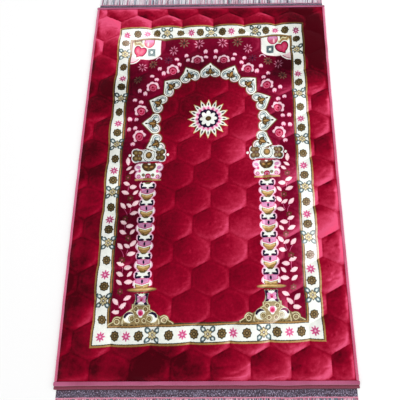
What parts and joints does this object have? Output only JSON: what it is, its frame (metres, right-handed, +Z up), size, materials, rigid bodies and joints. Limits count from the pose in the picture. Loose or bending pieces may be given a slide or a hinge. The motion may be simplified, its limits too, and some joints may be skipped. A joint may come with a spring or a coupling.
{
  "type": "prayer rug",
  "caption": "Padded velvet prayer rug lying flat, quilted in hexagonal puffs, with taped sides, a rolled band at each end and a short fringe.",
  "frame": {"origin": "on the floor under the middle of the whole rug, fringes included", "axes": "+X across the rug, +Y along it towards the arch end, +Z up"},
  "size_m": [0.8122, 1.2888, 0.015],
  "materials": {
    "velvet": "printed short-pile velvet quilted over wadding",
    "tape": "folded velvet side tape",
    "band": "rolled and stitched end band",
    "yarn": "woven heading tape and cut fringe"
  },
  "bodies": {
    "root": {"quilted_velvet": "velvet", "side_tape_left": "tape", "side_tape_right": "tape", "end_band_near": "band", "end_band_far": "band", "fringe_near": "yarn", "fringe_far": "yarn"}
  },
  "joints": []
}
